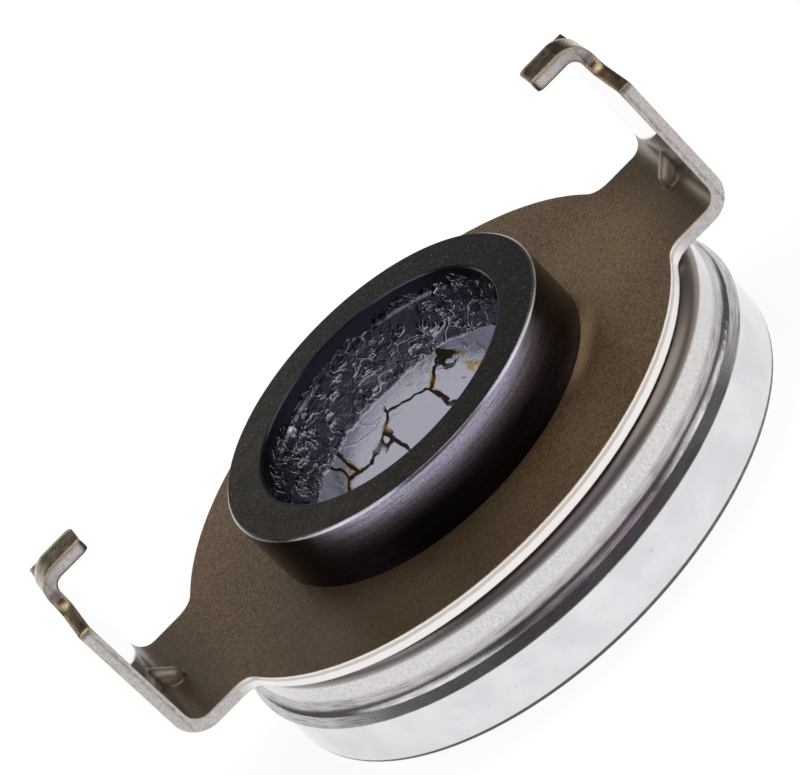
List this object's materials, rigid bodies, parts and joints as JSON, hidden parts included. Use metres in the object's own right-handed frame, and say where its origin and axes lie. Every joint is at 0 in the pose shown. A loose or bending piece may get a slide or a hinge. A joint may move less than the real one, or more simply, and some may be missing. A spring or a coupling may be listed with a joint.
{
  "type": "clutch release bearing",
  "caption": "Self-aligning clutch release bearing: a sliding guide sleeve, a stamped fork plate with two hooked arms, and a floating ball bearing with a turning contact ring.",
  "frame": {"origin": "on the sleeve's axis, at the level of the turning ring's contact face", "axes": "+Z along the sleeve's axis from the contact face towards the collar, +X through the two arms"},
  "size_m": [0.0774, 0.0656, 0.0366],
  "materials": {
    "fork_plate": "stamped sheet with a matt brown conversion coat and bare sheared edges",
    "guide_sleeve": "turned steel, black oxide",
    "support_washer": "plain steel",
    "retaining_ring": "dark spring steel",
    "disc_spring": "spring steel",
    "inner_ring": "bearing steel, ground",
    "dust_cover": "satin pressed steel",
    "outer_ring": "bearing steel, polished side",
    "front_seal": "black nitrile rubber",
    "cage": "natural polyamide",
    "balls": "polished bearing steel"
  },
  "bodies": {
    "sleeve_unit": {"fork_plate": "fork_plate", "guide_sleeve": "guide_sleeve", "support_washer": "support_washer", "retaining_ring": "retaining_ring"},
    "spring_unit": {"disc_spring": "disc_spring"},
    "inner_unit": {"inner_ring": "inner_ring", "dust_cover": "dust_cover"},
    "ring_unit": {"outer_ring": "outer_ring", "front_seal": "front_seal"},
    "ball_set": {"cage": "cage", "ball_01": "balls", "ball_02": "balls", "ball_03": "balls", "ball_04": "balls", "ball_05": "balls", "ball_06": "balls", "ball_07": "balls", "ball_08": "balls", "ball_09": "balls", "ball_10": "balls", "ball_11": "balls", "ball_12": "balls", "ball_13": "balls", "ball_14": "balls", "ball_15": "balls", "ball_16": "balls", "ball_17": "balls", "ball_18": "balls"}
  },
  "joints": [
    {"name": "float_x", "type": "slide", "parent": "sleeve_unit", "child": "spring_unit", "axis": [1, 0, 0], "range_m": [-0.00255, 0.00005]},
    {"name": "float_y", "type": "slide", "parent": "spring_unit", "child": "inner_unit", "axis": [0, 1, 0], "range_m": [-0.0013, 0.0013]},
    {"name": "ring_spin", "type": "hinge", "parent": "inner_unit", "child": "ring_unit", "pos_m": [0.00125, 0, 0], "axis": [0, 0, 1], "continuous": true},
    {"name": "cage_spin", "type": "hinge", "parent": "inner_unit", "child": "ball_set", "pos_m": [0.00125, 0, 0], "axis": [0, 0, 1], "continuous": true}
  ],
  "couplings": [
    {"joint": "cage_spin", "follows": "ring_spin", "ratio": 0.539}
  ]
}
